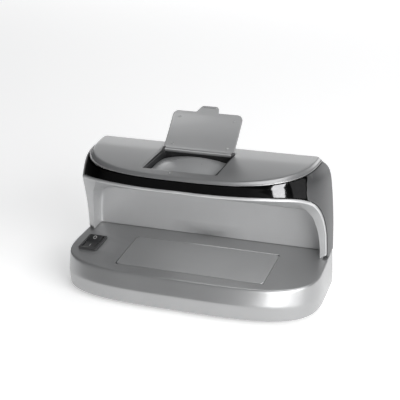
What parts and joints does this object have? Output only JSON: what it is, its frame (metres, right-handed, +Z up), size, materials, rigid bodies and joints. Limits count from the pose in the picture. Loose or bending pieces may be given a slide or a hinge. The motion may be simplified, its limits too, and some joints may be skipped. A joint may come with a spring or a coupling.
{
  "type": "counterfeit banknote detector",
  "caption": "Counter-top banknote detector: note tray, overhanging lamp head with glossy visor, rocker switch, and a magnifier under a hinged lid.",
  "frame": {"origin": "on the resting surface under the rubber feet, below the middle of the bounding box with the lid open", "axes": "+X to the user's right, -Y towards the user, +Z up"},
  "size_m": [0.192, 0.0916, 0.1259],
  "materials": {
    "silver": "satin silver moulded plastic",
    "light_silver": "light silver moulded plastic",
    "housing_grey": "satin mid-grey moulded plastic",
    "gloss_black": "polished black plastic",
    "satin_black": "satin black plastic",
    "clear_lens": "clear moulded lens",
    "diffuser": "white diffusing plastic",
    "steel": "bright zinc-plated steel",
    "aluminium": "bright pressed aluminium",
    "brass": "plain brass",
    "rubber": "matte black rubber",
    "board": "green circuit board",
    "ceramic": "white heat-resisting plastic",
    "lamp_glass": "dark violet filter glass",
    "wire": "white wire insulation"
  },
  "bodies": {
    "detector": {"base_shell": "silver", "bottom_plate": "satin_black", "foot_1": "rubber", "foot_2": "rubber", "foot_3": "rubber", "foot_4": "rubber", "bottom_screw_1": "steel", "bottom_screw_2": "steel", "bottom_screw_3": "steel", "bottom_screw_4": "steel", "watermark_window": "diffuser", "watermark_light_board": "board", "control_board": "board", "ballast_transformer": "steel", "smoothing_capacitor": "satin_black", "driver_chip": "satin_black", "power_inlet": "satin_black", "inlet_pin_left": "brass", "inlet_pin_right": "brass", "switch_housing": "satin_black", "rocker_pivot_pin": "steel", "switch_terminal_1": "brass", "switch_terminal_2": "brass", "switch_terminal_3": "brass", "rear_housing": "housing_grey", "visor_band": "gloss_black", "bay_liner": "light_silver", "top_cover": "silver", "lens_frame": "satin_black", "magnifier_lens": "clear_lens", "lid_hinge_pin": "steel", "uv_tube": "lamp_glass", "tube_cap_left": "aluminium", "tube_cap_right": "aluminium", "lamp_holder_left": "ceramic", "lamp_holder_right": "ceramic", "reflector": "aluminium", "lamp_window": "clear_lens", "lamp_wires": "wire"},
    "lid": {"inspection_lid": "silver"},
    "rocker": {"switch_rocker": "satin_black"}
  },
  "joints": [
    {"name": "lid_hinge", "type": "hinge", "parent": "detector", "child": "lid", "pos_m": [-0.0034, 0.01734, 0.0993], "axis": [1, 0, 0], "range_deg": [0, 137]},
    {"name": "rocker_tilt", "type": "hinge", "parent": "detector", "child": "rocker", "pos_m": [-0.0805, -0.00654, 0.02758], "axis": [1, 0, 0], "range_deg": [-18, 0]}
  ]
}
